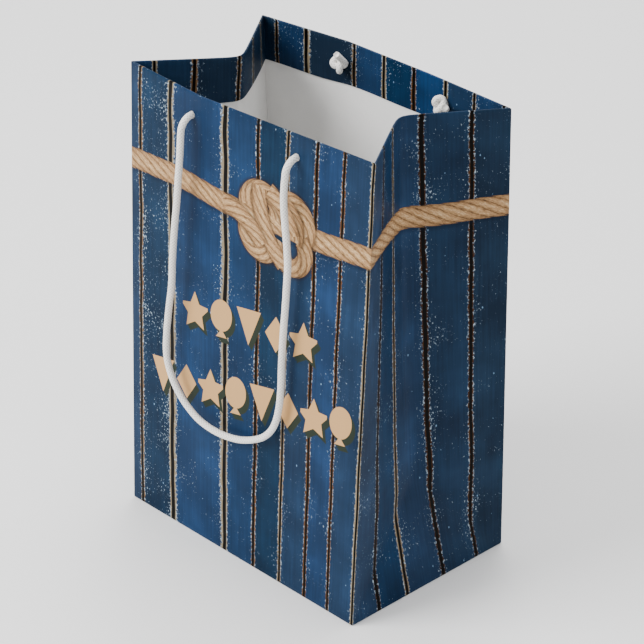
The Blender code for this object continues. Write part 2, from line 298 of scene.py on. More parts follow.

# %% [markdown]
# ## The cords' routes
#
# Each handle is one length of limp braided cord. It comes out of a punched hole, bends over in a small
# arch because it can't turn a sharp corner, hangs in a loop, and goes back through the second hole. The
# route is a short list of places, measured across from the middle of the holes and down from them. A
# smooth curve goes through them all, because a cord has no straight runs.

# %% Routes and holes
CORD_DIAMETER = 0.004
LOOPS = {
    "front": (
        (-0.0383, 0.0200), (-0.0397, 0.0350), (-0.0411, 0.0500), (-0.0430, 0.0660), (-0.0446, 0.0830),
        (-0.0457, 0.1010), (-0.0482, 0.1180), (-0.0500, 0.1330), (-0.0504, 0.1460), (-0.0480, 0.1560),
        (-0.0430, 0.1652), (-0.0352, 0.1732), (-0.0245, 0.1792), (-0.0110, 0.1812), (0.0035, 0.1794),
        (0.0158, 0.1745), (0.0250, 0.1680), (0.0312, 0.1590), (0.0345, 0.1470), (0.0358, 0.1340),
        (0.0362, 0.1190), (0.0371, 0.1010), (0.0384, 0.0850), (0.0393, 0.0710), (0.0399, 0.0590),
        (0.0390, 0.0460), (0.0374, 0.0320), (0.0366, 0.0200),
    ),
    "back": (
        (-0.0385, 0.0170), (-0.0405, 0.0300), (-0.0425, 0.0500), (-0.0440, 0.0720), (-0.0450, 0.0950),
        (-0.0455, 0.1180), (-0.0448, 0.1380), (-0.0415, 0.1550), (-0.0350, 0.1690), (-0.0245, 0.1785),
        (-0.0125, 0.1828), (0.0000, 0.1840), (0.0125, 0.1828), (0.0245, 0.1785), (0.0350, 0.1690),
        (0.0415, 0.1550), (0.0448, 0.1380), (0.0455, 0.1180), (0.0450, 0.0950), (0.0440, 0.0720),
        (0.0425, 0.0500), (0.0405, 0.0300), (0.0385, 0.0170),
    ),
}
JOINTS = {joint["child"]: joint for joint in frame["joints"]}
DOWN = Vector((0, 0, -1))


def hole_facts(side):
    """The two hole centres on the panel's outer face, and the directions across and outwards."""
    start = 0.0 if side == "front" else PANEL_WIDTH + GUSSET_WIDTH
    turn = 1 if side == "front" else -1
    middle = start + PANEL_WIDTH / 2 + turn * PANELS[side]["holes"]
    along = np.array([middle - turn * HOLE_SPACING / 2, middle + turn * HOLE_SPACING / 2])
    left, right = [Vector((*spot, HOLE_HEIGHT)) for spot in sheet_plan(along, HOLE_HEIGHT)]
    across = (right - left).normalized()
    return left, right, across, across.cross(Vector((0, 0, 1))) * -PANELS[side]["out"]


def smooth_points(route, spacing):
    """Points a set distance apart on a smooth curve through the route."""
    ends = [route[0] * 2 - route[1], *route, route[-1] * 2 - route[-2]]
    fine = []
    for p0, p1, p2, p3 in zip(ends, ends[1:], ends[2:], ends[3:]):
        for t in np.arange(0, 1, 0.05):
            fine.append(0.5 * (2 * p1 + (p2 - p0) * t + (2 * p0 - 5 * p1 + 4 * p2 - p3) * t**2
                               + (3 * p1 - p0 - 3 * p2 + p3) * t**3))
    fine = np.array([*fine, route[-1]])
    lengths = np.append(0, np.cumsum(np.linalg.norm(np.diff(fine, axis=0), axis=1)))
    wanted = np.linspace(0, lengths[-1], round(lengths[-1] / spacing) + 1)
    return np.stack([np.interp(wanted, lengths, fine[:, i]) for i in range(3)], axis=1)


# %% The line each cord follows
HEM_FOLD = 0.0012
ARCH_START = 0.0004
ARCH_TURNS = (0.22, 0.45, 0.7, 1.0)
KNOT_ENTRY = 0.0030
CORD_STEP = 0.0005
handles = {}
for side in PANELS:
    left, right, across, outwards = hole_facts(side)
    middle = (left + right) / 2
    swing = (Vector(JOINTS[f"{side}_handle"]["pos_m"]) - middle).dot(outwards)
    radius = swing - ARCH_START
    entry = [outwards * -(HEM_FOLD + KNOT_ENTRY), outwards * -HEM_FOLD * 0.5, outwards * ARCH_START]
    arch = [outwards * (ARCH_START + radius * math.sin(turn * math.pi / 2))
            + DOWN * radius * (1 - math.cos(turn * math.pi / 2)) for turn in ARCH_TURNS]
    loop = [middle + outwards * swing + across * a + DOWN * d for a, d in LOOPS[side]]
    leg = [*entry, *arch]
    route = [left + p for p in leg] + loop + [right + p for p in reversed(leg)]
    line = smooth_points(route, CORD_STEP)
    length = float(np.linalg.norm(np.diff(line, axis=0), axis=1).sum())
    handles[side] = {"holes": {"left": left, "right": right}, "across": across, "outwards": outwards,
                     "middle": middle, "swing": swing, "line": line, "length": length}
    print(side, "cord:", round(length * 1000), "mm from knot to knot,", round(swing * 1000, 2), "mm out")

# %% [markdown]
# ## Braiding a cord with Geometry Nodes
#
# A braided cord is a tube of strands that go round it in both directions and pass over and under each
# other. Modelling each strand by hand would take days. Instead a node tree carries a round profile along
# the cord's line, and moves its surface out and in by a weaving rule: at each place one of the two
# families of strands is on top, and a strand is highest along its middle. The tree works on any line, so
# the same one makes the handles and the knots.

# %% The braid tree
BRAID_STRANDS = 12
BRAID_SIDES = 48
RELIEF_SHARE = 0.16
RING_SPACING = 0.0004


def braid_tree():
    tree = bpy.data.node_groups.new("braided_cord", "GeometryNodeTree")
    tree.interface.new_socket("Geometry", in_out="INPUT", socket_type="NodeSocketGeometry")
    for name in ("Radius", "Relief", "Strand Repeat", "Ring Spacing"):
        tree.interface.new_socket(name, in_out="INPUT", socket_type="NodeSocketFloat")
    tree.interface.new_socket("Material", in_out="INPUT", socket_type="NodeSocketMaterial")
    tree.interface.new_socket("Geometry", in_out="OUTPUT", socket_type="NodeSocketGeometry")
    given = tree.nodes.new("NodeGroupInput").outputs
    line = add(tree, "GeometryNodeResampleCurve",
               {"Curve": given["Geometry"], "Length": given["Ring Spacing"]}, mode="LENGTH")
    spline = add(tree, "GeometryNodeSplineParameter")
    line = add(tree, "GeometryNodeStoreNamedAttribute",
               {"Geometry": line, "Name": "along_cord", "Value": spline.outputs["Length"]}, data_type="FLOAT")
    ring = add(tree, "GeometryNodeCurvePrimitiveCircle",
               {"Resolution": BRAID_SIDES, "Radius": given["Radius"]})
    index = add(tree, "GeometryNodeInputIndex")
    turn = add(tree, MATH, [index, BRAID_SIDES], operation="DIVIDE")
    ring = add(tree, "GeometryNodeStoreNamedAttribute",
               {"Geometry": ring, "Name": "around_cord", "Value": turn}, data_type="FLOAT")
    tube = add(tree, "GeometryNodeCurveToMesh", {"Curve": line, "Profile Curve": ring, "Fill Caps": True})
    along = add(tree, "GeometryNodeInputNamedAttribute", {"Name": "along_cord"}, data_type="FLOAT")
    around = add(tree, "GeometryNodeInputNamedAttribute", {"Name": "around_cord"}, data_type="FLOAT")
    repeats = add(tree, MATH, [along, given["Strand Repeat"]], operation="DIVIDE")
    lifts = []
    cells = []
    for family in ("ADD", "SUBTRACT"):
        place = add(tree, MATH, [around, repeats], operation=family)
        place = add(tree, MATH, [place, BRAID_STRANDS / 2], operation="MULTIPLY")
        cells.append(add(tree, MATH, [place], operation="FLOOR"))
        part = add(tree, MATH, [place], operation="FRACT")
        part = add(tree, MATH, [part, math.pi], operation="MULTIPLY")
        lifts.append(add(tree, MATH, [part], operation="SINE"))
    both = add(tree, MATH, [cells[0], cells[1]], operation="ADD")
    chosen = add(tree, MATH, [both, 2.0], operation="FLOORED_MODULO")
    tops = []
    for over, under in (lifts, lifts[::-1]):
        hump = add(tree, MATH, [under, 0.45, 0.55], operation="MULTIPLY_ADD")
        tops.append(add(tree, MATH, [over, hump], operation="MULTIPLY"))
    lift = add(tree, MIX, {0: chosen, 2: tops[0], 3: tops[1]}, data_type="FLOAT")
    lift = add(tree, MATH, [lift, 0.7], operation="POWER")
    tube = add(tree, "GeometryNodeStoreNamedAttribute",
               {"Geometry": tube, "Name": "strand_lift", "Value": lift}, data_type="FLOAT")
    kept = add(tree, "GeometryNodeInputNamedAttribute", {"Name": "strand_lift"}, data_type="FLOAT")
    rise = add(tree, MATH, [kept, 0.6], operation="SUBTRACT")
    rise = add(tree, MATH, [rise, given["Relief"]], operation="MULTIPLY")
    normal = add(tree, "GeometryNodeInputNormal")
    shift = add(tree, VECTOR_MATH, {0: normal, "Scale": rise}, operation="SCALE")
    tube = add(tree, "GeometryNodeSetPosition", {"Geometry": tube, "Offset": shift})
    tube = add(tree, "GeometryNodeSetShadeSmooth", {"Geometry": tube})
    tube = add(tree, "GeometryNodeRealizeInstances", {"Geometry": tube})
    tube = add(tree, "GeometryNodeSetMaterial", {"Geometry": tube, "Material": given["Material"]})
    add(tree, "NodeGroupOutput", {"Geometry": tube})
    return tree


braid = braid_tree()


def braided_piece(name, line, material, radius, scale_ends=None):
    """A mesh cord along a line of points, woven by the braid tree."""
    curve = bpy.data.curves.new(name, "CURVE")
    curve.dimensions = "3D"
    spline = curve.splines.new("POLY")
    spline.points.add(len(line) - 1)
    spline.points.foreach_set("co", np.hstack((line, np.ones((len(line), 1)))).ravel())
    if scale_ends is not None:
        spline.points.foreach_set("radius", scale_ends)
    source = placed(name + "_line", curve)
    modifier = source.modifiers.new("braid", "NODES")
    sockets = {item.name: item.identifier for item in braid.interface.items_tree if item.in_out == "INPUT"}
    modifier.node_group = braid
    for socket, value in (("Radius", radius), ("Relief", radius * RELIEF_SHARE),
                          ("Strand Repeat", radius * 2 * math.pi), ("Ring Spacing", RING_SPACING),
                          ("Material", material)):
        modifier[sockets[socket]] = value
    return finished(name, source)


# %% [markdown]
# ## The cord's finish
#
# The handles are bleached cotton-like cord, braided round a soft core. Its strands are matte and catch
# light along their tops. The braid tree left each point's height on its strand as an attribute, and the
# material reads that to paint shade into the gaps between the strands, greying the white there; a fine
# noise stands for the fibres, drawn about twice as coarse as real ones so that they show.

# %% Braided cord material
FIBRE_MM = 0.25
cord_white, tree, shader = new_material("bleached_braided_cord")
lift = add(tree, "ShaderNodeAttribute", attribute_name="strand_lift")
place = add(tree, "ShaderNodeTexCoord").outputs["Object"]
fibre = add(tree, NOISE, {"Vector": place, "Scale": 1000 / FIBRE_MM, "Detail": 2.0})
# painted shade: a low strand height darkens the cord's white towards grey in the gaps between strands; the
# fibre noise adds real tone
shade = add(tree, MATH, [fibre, 0.25, lift.outputs["Fac"]], operation="MULTIPLY_ADD")
tone = add(tree, "ShaderNodeValToRGB", [shade], stops=((0.1, "#6b6b68"), (0.75, "#f7f5f0")))
bump = add(tree, "ShaderNodeBump", {"Strength": 0.35, "Distance": 0.0001, "Height": fibre})
connect(shader, {"Base Color": tone, "Roughness": 0.82, "Sheen Weight": 0.25, "Sheen Roughness": 0.5,
                 "Normal": bump})

# %% Make the two handle cords
CORD_RADIUS = CORD_DIAMETER * 0.465
for side, facts in handles.items():
    facts["cord"] = braided_piece(f"{side}_cord_loop", facts["line"], cord_white, CORD_RADIUS)
    print(side, "cord has", len(facts["cord"].data.polygons), "faces")

# %% [markdown]
# ## The knots
#
# Each end is tied in an overhand knot that can't pull through the hole. An overhand knot's line is most
# of a trefoil, opened where the cord comes in and where its cut end leaves. The cord is soft and is
# pulled tight, so in the knot it is a little thinner and its turns press into each other.

# %% Overhand knots
KNOT_TURN = {"front_knot_left": 1.1, "front_knot_right": -0.4,
             "back_knot_left": -1.95, "back_knot_right": -2.75}
KNOT_SCALE = 0.00128
KNOT_LIFT = 0.0016
KNOT_CORD_RADIUS = 0.00175
TAIL_LENGTH = 0.0085


def overhand_line(hole, across, outwards, turn):
    """The line of a knot inside the panel, from the hole to the cut end."""
    inwards = -outwards
    up = Vector((0, 0, 1))
    middle = hole + inwards * (HEM_FOLD + KNOT_CORD_RADIUS + KNOT_LIFT + 0.0006)
    line = [hole + inwards * HEM_FOLD * 0.4, hole + inwards * (HEM_FOLD + 0.0012)]

    def on_trefoil(t, grow=1.0):
        x = (math.sin(t) + 2 * math.sin(2 * t)) * KNOT_SCALE * grow
        y = (math.cos(t) - 2 * math.cos(2 * t)) * KNOT_SCALE * grow
        level = -math.sin(3 * t) * KNOT_LIFT
        a = x * math.cos(turn) - y * math.sin(turn)
        b = x * math.sin(turn) + y * math.cos(turn)
        return middle + across * a + up * b + inwards * level

    turns = np.linspace(0.25, 5.1, 22)
    line += [on_trefoil(t) for t in turns]
    leaving = (line[-1] - line[-2]).normalized() + inwards * 0.15
    line += [line[-1] + leaving * TAIL_LENGTH * share for share in (0.33, 0.67, 1.0)]
    return smooth_points(line, CORD_STEP)


knots = {}
for side, facts in handles.items():
    for word, hole in facts["holes"].items():
        name = f"{side}_knot_{word}"
        line = overhand_line(hole, facts["across"], facts["outwards"], KNOT_TURN[name])
        widths = np.ones(len(line))
        widths[-3:] = (0.97, 0.9, 0.72)
        knots[name] = braided_piece(name + "_tied", line, cord_white, KNOT_CORD_RADIUS, widths)
print("tied", len(knots), "knots")

# %% [markdown]
# ## The folded sheet
#
# The sheet could be a box with bent walls, but its rim, its hem, its pinched sides and its block bottom
# are all one piece of paper, and the print has to run unbroken over every fold. So the mesh is a grid on
# the flat sheet: columns stand at distances along it, and rows at heights up it, over the rim and down
# inside as the hem. Each grid point is placed by the plan above. The flat sheet's own distances become
# the UV map, which is what a print is drawn on.

# %% Rows and columns of the sheet
PAPER = 0.0003
BASE_LEVEL = 0.00035
RIM_RADIUS = HEM_FOLD / 2
HEM_WAVE = 0.0004
HEM_SKEW = 0.0015
STIFF_EDGE = 0.014
CORNERS = np.cumsum((0, PANEL_WIDTH, GUSSET_WIDTH, PANEL_WIDTH, GUSSET_WIDTH))
HEM_DEEPEST = 0.560


def column_places():
    """Distances along the sheet, closer together at the corners and the gussets' creases."""
    panel = np.arange(0.003, PANEL_WIDTH - 0.001, 0.003)
    gusset = np.arange(0.002, GUSSET_WIDTH - 0.001, 0.002)
    near = np.array((0.0, 0.0004, 0.0008, 0.0013))
    found = []
    for start, width, middle in zip(CORNERS, np.diff(CORNERS), (panel, gusset, panel, gusset)):
        creases = HALF_GUSSET + np.array((-0.0008, 0.0008))
        found += [start + near, start + width - near[1:], start + middle, start + creases,
                  start + width - creases]
    return np.unique(np.round(np.concatenate(found), 6))


def unevenness(along, height):
    """How far hand-glued paper stands off its true plane, in metres."""
    turn = 2 * math.pi * along / AROUND
    rise = math.sin(math.pi * min(height / HEIGHT, 1.0)) ** 0.8 if height > 0 else 0.0
    wide = 0.00050 * np.sin(3 * turn + 1.3 + 4 * height)
    middling = 0.00028 * np.sin(7 * turn + 21 * height)
    small = 0.00012 * np.sin(13 * turn - 47 * height + 0.7)
    to_corner = np.abs(along[:, None] - CORNERS).min(axis=1)
    stiff = np.clip(to_corner / STIFF_EDGE, 0, 1)
    return rise * stiff**2 * (3 - 2 * stiff) * (wide + middling + small)


columns = column_places()
foot_rows = np.arange(0.002, HALF_GUSSET + 0.004, 0.002)
wall_rows = np.linspace(foot_rows[-1] + 0.004, HEIGHT - RIM_RADIUS - 0.002, 46)
rows = [(0.0, 0.00045), (0.00015, 0.00013), (0.0006, 0.0)] + [(z, 0.0) for z in foot_rows] + \
    [(z, 0.0) for z in wall_rows]
rim_rows = [(HEIGHT - RIM_RADIUS + RIM_RADIUS * math.sin(a), RIM_RADIUS - RIM_RADIUS * math.cos(a))
            for a in np.linspace(0, math.pi, 8)]
hem_rows = [(z, HEM_FOLD) for z in np.linspace(HEIGHT - RIM_RADIUS - 0.002, HEIGHT - HEM_DEPTH, 10)]
rows += rim_rows + hem_rows
print(len(columns), "columns and", len(rows), "rows")


# %% Place the grid
def outward_normals(places):
    """Level directions out of a closed outline."""
    run = np.roll(places, -1, axis=0) - np.roll(places, 1, axis=0)
    run /= np.linalg.norm(run, axis=1)[:, None]
    return np.stack((run[:, 1], -run[:, 0]), axis=1)


def sheet_rows():
    """The places of every row, and each row's distance up the flat sheet."""
    made, distances = [], []
    up = 0.0
    hem_start = len(rows) - len(hem_rows)
    for i, (height, inset) in enumerate(rows):
        places = sheet_plan(columns, height, inset)
        places = places + outward_normals(places) * unevenness(columns, height)[:, None]
        heights = np.full(len(columns), height)
        if i >= hem_start:
            share = (i - hem_start + 1) / len(hem_rows)
            turn = 2 * math.pi * columns / AROUND
            heights += share**3 * HEM_WAVE * np.sin(9 * turn + 0.8)
            heights -= share * HEM_SKEW * np.cos(turn - 2 * math.pi * HEM_DEEPEST / AROUND)
        if i:
            up += math.hypot(height - rows[i - 1][0], inset - rows[i - 1][1])
        made.append(np.hstack((places, heights[:, None])))
        distances.append(up)
    return made, distances


wall_places, wall_distances = sheet_rows()

# %% [markdown]
# ## The block bottom
#
# Under the bag the sheet turns in on all four sides. The ends fold in first as triangles, then the two
# long flaps fold over them and overlap along the middle, where they are glued. The grid goes on inwards
# in shrinking rings, which gives the diagonal folds by itself, and the two flaps are thin plates on it.


# %% Bottom rings and flaps
BASE_ROUNDING = 0.0020
FLAP_INSET = 0.0012
FLAP_END_INSET = 0.0022
FLAP_OVERLAP = 0.012
FLAP_SLANT = 0.97
FLAP_THICKNESS = 0.00014


def base_rings():
    """Rings of places from the bottom edge to the middle line, outermost first."""
    places = plan_line(0.0, FINE_SHARES)[1]
    low, high = places.min(axis=0), places.max(axis=0)
    found = []
    for inset in (0.0010, BASE_ROUNDING, 0.006, 0.015, 0.03, 0.045, 0.056, HALF_GUSSET):
        corners = np.array([(low[0] + inset, low[1] + inset), (high[0] - inset, low[1] + inset),
                            (high[0] - inset, high[1] - inset), (low[0] + inset, high[1] - inset)])
        corners = np.vstack((corners, corners[:1]))
        plan = np.stack([np.interp(columns, CORNERS, corners[:, i]) for i in (0, 1)], axis=1)
        level = BASE_LEVEL * min(inset / BASE_ROUNDING, 1.0)
        found.append(np.hstack((plan, np.full((len(columns), 1), level))))
    return found


def base_print(place):
    """Where on the flat sheet the print of a bottom place comes from."""
    return ((place.x + PANEL_WIDTH / 2) % AROUND, -(HALF_GUSSET - abs(place.y)))


def add_flap(bm, uv_layer, side, level):
    """A long bottom flap with its diagonal ends, as a thin closed plate."""
    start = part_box("bag_body")[0].x
    edge = side * (HALF_GUSSET - FLAP_INSET)
    past = -side * FLAP_OVERLAP
    left, right = start + FLAP_END_INSET, start + PANEL_WIDTH - FLAP_INSET
    shift = min(abs(past - edge), HALF_GUSSET) * FLAP_SLANT
    outline = [(left, edge), (right, edge), (right - shift, past), (left + shift, past)]
    if side > 0:
        outline = outline[::-1]
    lower = [bm.verts.new((x, y, level)) for x, y in outline]
    upper = [bm.verts.new((x, y, level + FLAP_THICKNESS)) for x, y in outline]
    faces = [bm.faces.new(lower[::-1]), bm.faces.new(upper)]
    for i in range(4):
        j = (i + 1) % 4
        faces.append(bm.faces.new((lower[i], lower[j], upper[j], upper[i])))
    for face in faces:
        for loop in face.loops:
            loop[uv_layer].uv = base_print(loop.vert.co)


# %% Build the sheet mesh
def build_sheet():
    bm = bmesh.new()
    uv_layer = bm.loops.layers.uv.new("sheet")
    base = base_rings()[::-1]
    grid = [[bm.verts.new(p) for p in row] for row in base + wall_places]
    count = len(columns)
    for r, (lower, upper) in enumerate(zip(grid, grid[1:])):
        for c in range(count):
            d = (c + 1) % count
            face = bm.faces.new((lower[c], lower[d], upper[d], upper[c]))
            if r >= len(base):
                us = (columns[c], columns[c + 1] if d else AROUND)
                vs = wall_distances[r - len(base):][:2]
                for loop, (i, j) in zip(face.loops, ((0, 0), (1, 0), (1, 1), (0, 1))):
                    loop[uv_layer].uv = (us[i], vs[j])
            else:
                for loop in face.loops:
                    loop[uv_layer].uv = base_print(loop.vert.co)
    bmesh.ops.remove_doubles(bm, verts=[v for row in grid[:2] for v in row], dist=1e-6)
    return mesh_of("folded_sheet", bm)


# %% Punch and thicken
PUNCH_RADIUS = 0.0023
PUNCH_LENGTH = 0.008


def punch(name, hole, outwards):
    """A round punch through the panel, the card and the hem."""
    bm = bmesh.new()
    bmesh.ops.create_cone(bm, cap_ends=True, segments=28, radius1=PUNCH_RADIUS, radius2=PUNCH_RADIUS,
                          depth=PUNCH_LENGTH)
    turn = outwards.to_track_quat("Z", "Y").to_matrix().to_4x4()
    bmesh.ops.transform(bm, matrix=Matrix.Translation(hole) @ turn, verts=bm.verts)
    return placed(name, mesh_of(name, bm))


def thicken_and_punch(source, thickness, sides):
    """Gives an open sheet its thickness, inwards, and punches the cord holes."""
    solidify = source.modifiers.new("paper", "SOLIDIFY")
    solidify.thickness = thickness
    solidify.offset = -1.0
    solidify.material_offset = len(source.data.materials) - 1
    solidify.material_offset_rim = solidify.material_offset
    for side in sides:
        for cutter in punches[side]:
            cut = source.modifiers.new("punch", "BOOLEAN")
            cut.operation = "DIFFERENCE"
            cut.solver = "EXACT"
            cut.object = cutter


punches = {side: [punch(f"{side}_{word}_punch", hole, facts["outwards"])
                  for word, hole in facts["holes"].items()]
           for side, facts in handles.items()}
print("punched", sum(len(pair) for pair in punches.values()), "holes")

# %% [markdown]
# ## White uncoated paper
#
# The inside of the sheet is bare art board: bright, matte, with a faint cloudiness from the way its
# fibres settled. The cut edges show the same white.

# %% Inside paper material
bare_paper, tree, shader = new_material("uncoated_white_paper")
place = add(tree, "ShaderNodeTexCoord").outputs["Object"]
cloud = add(tree, NOISE, {"Vector": place, "Scale": 120.0, "Detail": 4.0})
grain = add(tree, NOISE, {"Vector": place, "Scale": 2500.0, "Detail": 2.0})
tone = add(tree, "ShaderNodeValToRGB", [cloud], stops=((0.0, "#efeeec"), (1.0, "#f7f6f4")))
bump = add(tree, "ShaderNodeBump", {"Strength": 0.25, "Distance": 0.00005, "Height": grain})
connect(shader, {"Base Color": tone, "Roughness": 0.78, "Normal": bump})

# %% [markdown]
# ## The printed side: painted boards
#
# The outside is coated paper printed with old blue boards, so everything here is flat ink under one
# satin coat: there is no wood to feel. The print is drawn on the flat sheet's distances in millimetres.
# The seams between boards are a list of places round the bag, and a curve turns distance into board
# number. What is left over after rounding is the distance to the nearest seam, and the rounded number
# gives every seam and board its own random tone, width and wear.

# %% Lay out the boards
BOARD_SEAMS_MM = (8, 34, 78, 101, 122, 142, 160, 179, 201, 223, 252, 279, 303, 325, 347, 371, 393, 415,
                  450, 471, 492, 514, 541, 566, 588)
MEAN_BOARD_MM = 24.0
SHEET_MM = AROUND * 1000

print_paper, tree, shader = new_material("coated_paper_printed_with_boards")
sheet_uv = add(tree, "ShaderNodeUVMap", uv_map="sheet")
sheet_mm = add(tree, VECTOR_MATH, [sheet_uv, (1000.0, 1000.0, 1000.0)], operation="MULTIPLY")
split = add(tree, "ShaderNodeSeparateXYZ", [sheet_mm])
along_mm, up_mm = split.outputs[0], split.outputs[1]
share = add(tree, MATH, [along_mm, SHEET_MM], operation="DIVIDE")
board_curve = add(tree, "ShaderNodeFloatCurve", {"Value": share})
points = board_curve.mapping.curves[0].points
board_total = len(BOARD_SEAMS_MM)
first_share = (BOARD_SEAMS_MM[0] - BOARD_SEAMS_MM[-1] + SHEET_MM)
start_board = 1 - BOARD_SEAMS_MM[0] / first_share
points[0].location = (0.0, start_board / (board_total + 1))
points[1].location = (1.0, (start_board + board_total) / (board_total + 1))
for number, seam in enumerate(BOARD_SEAMS_MM, start=1):
    points.new(seam / SHEET_MM, number / (board_total + 1))
for point in points:
    point.handle_type = "VECTOR"
board_curve.mapping.update()
board = add(tree, MATH, [board_curve, board_total + 1.0], operation="MULTIPLY")
nearest = add(tree, MATH, [board], operation="ROUND")
board_number = add(tree, MATH, [board], operation="FLOOR")
print(board_total, "board seams round the sheet")

# %% Distance to the nearest seam, made ragged
off_boards = add(tree, MATH, [board, nearest], operation="SUBTRACT")
straight_off = add(tree, MATH, [off_boards, MEAN_BOARD_MM], operation="MULTIPLY")
seam_place = add(tree, "ShaderNodeCombineXYZ", [nearest, up_mm])
sway = add(tree, NOISE, {"Vector": seam_place, "Scale": 0.03, "Detail": 1.0})
sway = add(tree, MATH, [sway, 2.0, -1.0], operation="MULTIPLY_ADD")
ragged = add(tree, NOISE, {"Vector": sheet_mm, "Scale": 0.55, "Detail": 3.0, "Roughness": 0.6})
ragged_off = add(tree, MATH, [ragged, 3.4, -1.7], operation="MULTIPLY_ADD")
off_seam = add(tree, MATH, [straight_off, sway], operation="ADD")
core_distance = add(tree, MATH, [off_seam], operation="ABSOLUTE")
side_of_seam = add(tree, MATH, [off_seam, 0.0], operation="GREATER_THAN")
worn_distance = add(tree, MATH, [core_distance, ragged_off], operation="ADD")

# %% Blue paint, board by board
board_luck = add(tree, "ShaderNodeTexWhiteNoise", {"W": board_number}, noise_dimensions="1D")
blotch = add(tree, NOISE, {"Vector": sheet_mm, "Scale": 0.03, "Detail": 3.0})
streak_place = add(tree, VECTOR_MATH, [sheet_mm, (1.0, 0.035, 1.0)], operation="MULTIPLY")
streak = add(tree, NOISE, {"Vector": streak_place, "Scale": 0.7, "Detail": 4.0})
tone = add(tree, MATH, [board_luck, 0.30, -0.17], operation="MULTIPLY_ADD")
tone = add(tree, MATH, [blotch, 0.75, tone], operation="MULTIPLY_ADD")
tone = add(tree, MATH, [streak, 0.35, tone], operation="MULTIPLY_ADD")
paint = add(tree, "ShaderNodeValToRGB", [tone],
            stops=((0.32, "#051933"), (0.62, "#0d2a4b"), (0.95, "#163e6c")))
board_lucks = add(tree, "ShaderNodeSeparateColor", [board_luck.outputs["Color"]])
hue = add(tree, MATH, [board_lucks.outputs[0], 0.016, 0.484], operation="MULTIPLY_ADD")
strength = add(tree, MATH, [board_lucks.outputs[1], 0.20, 0.84], operation="MULTIPLY_ADD")
paint = add(tree, "ShaderNodeHueSaturation", {"Hue": hue, "Saturation": strength, "Color": paint})

# %% Bare wood and the dark gap at each seam
seam_luck = add(tree, "ShaderNodeTexWhiteNoise", {"W": nearest}, noise_dimensions="1D")
lucks = add(tree, "ShaderNodeSeparateColor", [seam_luck.outputs["Color"]])
bare_side = add(tree, MIX, {0: side_of_seam, 2: lucks.outputs[0], 3: lucks.outputs[1]},
                data_type="FLOAT")
bare_patch = add(tree, NOISE, {"Vector": seam_place, "Scale": 0.02, "Detail": 2.0})
bare_width = add(tree, MATH, [bare_side, 1.4, 0.75], operation="MULTIPLY_ADD")
bare_width = add(tree, MATH, [bare_width, bare_patch], operation="MULTIPLY")
wood_edge = add(tree, MATH, [bare_width, 1.0], operation="ADD")
wood_mask = add(tree, MATH, [wood_edge, worn_distance], operation="SUBTRACT")
wood_mask = add(tree, "ShaderNodeMapRange", [wood_mask, -0.12, 0.12])
wood_kind = add(tree, MATH, [lucks.outputs[2], side_of_seam], operation="ADD")
wood_kind = add(tree, MATH, [wood_kind], operation="FRACT")
wood_tone = add(tree, MATH, [streak, 0.5, wood_kind], operation="MULTIPLY_ADD")
wood = add(tree, "ShaderNodeValToRGB", [wood_tone],
           stops=((0.25, "#301b0e"), (0.65, "#63401f"), (1.0, "#84765f")))
gap_width = add(tree, MATH, [lucks.outputs[1], 0.35, 0.72], operation="MULTIPLY_ADD")
gap_mask = add(tree, MATH, [gap_width, core_distance], operation="SUBTRACT")
gap_mask = add(tree, "ShaderNodeMapRange", [gap_mask, -0.2, 0.05])

# %% Chipped paint along the seams and scattered flakes
SCRAPED_BOARD = 1
chip_grain = add(tree, VECTOR_MATH, [sheet_mm, (1.0, 0.6, 1.0)], operation="MULTIPLY")
flake = add(tree, NOISE, {"Vector": chip_grain, "Scale": 0.95, "Detail": 4.0, "Roughness": 0.7})
patch = add(tree, NOISE, {"Vector": sheet_mm, "Scale": 0.045, "Detail": 2.0})
seam_far = add(tree, MATH, [straight_off], operation="ABSOLUTE")
near_seam = add(tree, "ShaderNodeMapRange", [seam_far, 7.0, 1.0])
flake_level = add(tree, MATH, [near_seam, 0.06, flake], operation="MULTIPLY_ADD")
flake_level = add(tree, MATH, [patch, 0.30, flake_level], operation="MULTIPLY_ADD")
scraped = add(tree, MATH, [board_number, float(SCRAPED_BOARD), 0.5], operation="COMPARE")
flake_level = add(tree, MATH, [scraped, 0.045, flake_level], operation="MULTIPLY_ADD")
flake_mask = add(tree, "ShaderNodeMapRange", [flake_level, 0.82, 0.87])
lip_off = add(tree, MATH, [worn_distance, wood_edge], operation="SUBTRACT")
lip_off = add(tree, MATH, [lip_off], operation="ABSOLUTE")
lip = add(tree, "ShaderNodeMapRange", [lip_off, 0.40, 0.20])
lip_broken = add(tree, "ShaderNodeMapRange", [flake, 0.50, 0.60])
lip_mask = add(tree, MATH, [lip.outputs[0], lip_broken.outputs[0]], operation="MULTIPLY")
speck = add(tree, "ShaderNodeTexVoronoi", {"Vector": chip_grain, "Scale": 0.42})
speck_luck = add(tree, "ShaderNodeSeparateColor", [speck.outputs["Color"]])
speck_size = add(tree, "ShaderNodeMapRange", [speck_luck.outputs[0], 0.88, 1.0, 0.0, 0.17])
speck_mask = add(tree, MATH, [speck_size, speck.outputs["Distance"]], operation="GREATER_THAN")

# %% Put the board layers on each other
chip_colour = linear("#a9bccb")
colour = paint
for mask, layer in ((flake_mask, chip_colour), (speck_mask, linear("#6f8fae")), (wood_mask, wood),
                    (lip_mask, chip_colour), (gap_mask, linear("#030201"))):
    colour = add(tree, MIX, {0: mask, 6: colour, 7: layer}, data_type="RGBA").outputs[2]

# %% [markdown]
# ## The printed rope
#
# A three-strand rope is printed round the bag, with a knot on each panel. Seen flat, a laid rope is a
# band with slanting strands. On a round rope the slant is steepest at the edges, which the arcsine of
# the distance from the middle gives. One node group draws that for any distance along and across, so
# the straight band and every bend of the knot are the same rope.


# %% The rope group
ROPE_HALF_MM = 6.4
ROPE_LAY_MM = 9.2
ROPE_TWIST = 1.25


